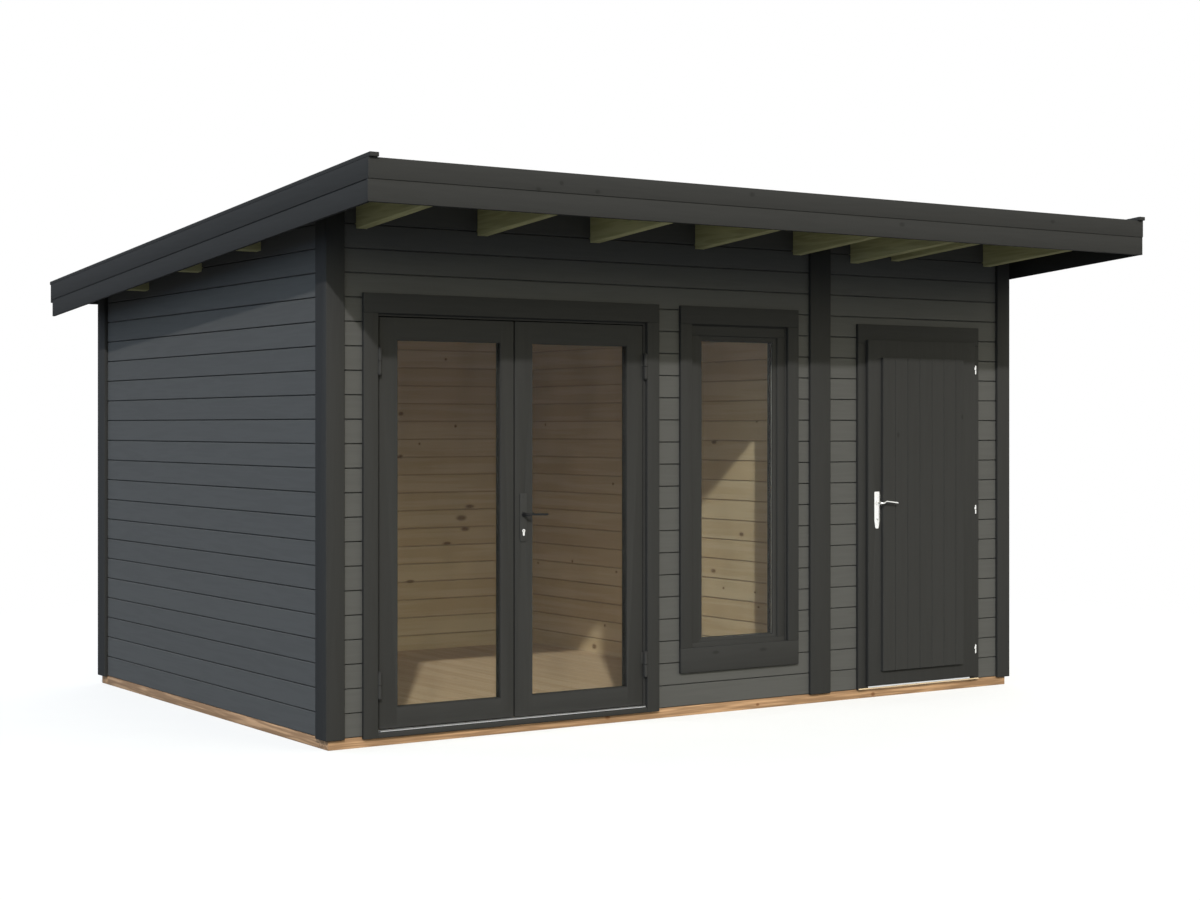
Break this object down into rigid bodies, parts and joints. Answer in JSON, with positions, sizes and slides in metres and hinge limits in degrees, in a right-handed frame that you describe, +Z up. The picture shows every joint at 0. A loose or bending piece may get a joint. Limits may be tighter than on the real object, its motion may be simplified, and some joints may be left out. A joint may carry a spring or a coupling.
{
  "type": "garden office pod",
  "caption": "Timber garden office pod with a low-sloped roof and porch, glazed leaves, a tall window and a store room behind a plank door.",
  "frame": {"origin": "on the ground, under the middle of the roof's plan", "axes": "+X right along the front, +Y towards the back, +Z up; the doors face -Y"},
  "size_m": [4.832, 4.128, 2.6801],
  "materials": {
    "wall_paint": "grey paint over log boards",
    "bare_pine": "bare planed pine",
    "trim_paint": "dark grey paint",
    "treated_timber": "green treated, sawn",
    "brown_timber": "brown treated, planed",
    "roof_felt": "mineral felt",
    "glass": "clear float",
    "dark_metal": "black coat",
    "steel": "satin",
    "aluminium": "mill"
  },
  "bodies": {
    "building": {"foundation_long_bearers": "brown_timber", "foundation_cross_bearers": "brown_timber", "floor_boards": "bare_pine", "left_wall": "wall_paint", "right_wall": "wall_paint", "back_wall": "wall_paint", "partition_wall": "bare_pine", "front_wall_top": "wall_paint", "front_wall_piers": "wall_paint", "front_wall_window_apron": "wall_paint", "front_wall_heads": "wall_paint", "corner_covers": "trim_paint", "partition_cover": "trim_paint", "glazed_door_trim": "trim_paint", "glazed_door_frame": "trim_paint", "glazed_door_sill": "trim_paint", "glazed_door_threshold": "aluminium", "window_trim": "trim_paint", "window_frame": "trim_paint", "window_sash": "trim_paint", "window_beads": "trim_paint", "window_glass": "glass", "store_door_trim": "trim_paint", "store_door_frame": "trim_paint", "store_door_threshold": "aluminium", "rafters": "treated_timber", "roof_lookouts": "treated_timber", "roof_deck": "bare_pine", "roof_felt": "roof_felt", "front_fascia_upper": "trim_paint", "front_fascia_lower": "trim_paint", "rear_fascia": "trim_paint", "side_fascia_upper": "trim_paint", "side_fascia_lower": "trim_paint", "roof_edge_caps": "trim_paint", "frame_hinges": "dark_metal"},
    "left_leaf": {"left_leaf_frame": "trim_paint", "left_leaf_glass": "glass", "left_leaf_hinges": "dark_metal"},
    "right_leaf": {"right_leaf_frame": "trim_paint", "right_leaf_glass": "glass", "right_leaf_hinges": "dark_metal", "right_leaf_handle_plates": "dark_metal"},
    "right_leaf_handle": {"right_leaf_lever": "dark_metal"},
    "store_door": {"store_leaf": "trim_paint", "store_leaf_planks": "trim_paint", "store_leaf_hinges": "steel", "store_leaf_handle_plates": "steel"},
    "store_door_handle": {"store_leaf_lever": "steel"}
  },
  "joints": [
    {"name": "left_leaf_swing", "type": "hinge", "parent": "building", "child": "left_leaf", "pos_m": [-1.9298, -1.221, 0], "axis": [0, 0, -1], "range_deg": [0, 110]},
    {"name": "right_leaf_swing", "type": "hinge", "parent": "building", "child": "right_leaf", "pos_m": [-0.3948, -1.221, 0], "axis": [0, 0, 1], "range_deg": [0, 110]},
    {"name": "store_door_swing", "type": "hinge", "parent": "building", "child": "store_door", "pos_m": [1.917, -1.241, 0], "axis": [0, 0, 1], "range_deg": [0, 110]},
    {"name": "right_leaf_lever_turn", "type": "hinge", "parent": "right_leaf", "child": "right_leaf_handle", "pos_m": [-1.1243, -1.181, 1.077], "axis": [0, 1, 0], "range_deg": [0, 40], "stiffness_Nm_per_rad": 1.5, "springref_deg": -28.65},
    {"name": "store_lever_turn", "type": "hinge", "parent": "store_door", "child": "store_door_handle", "pos_m": [1.155, -1.22, 1.087], "axis": [0, 1, 0], "range_deg": [0, 40], "stiffness_Nm_per_rad": 1.5, "springref_deg": -28.65}
  ]
}
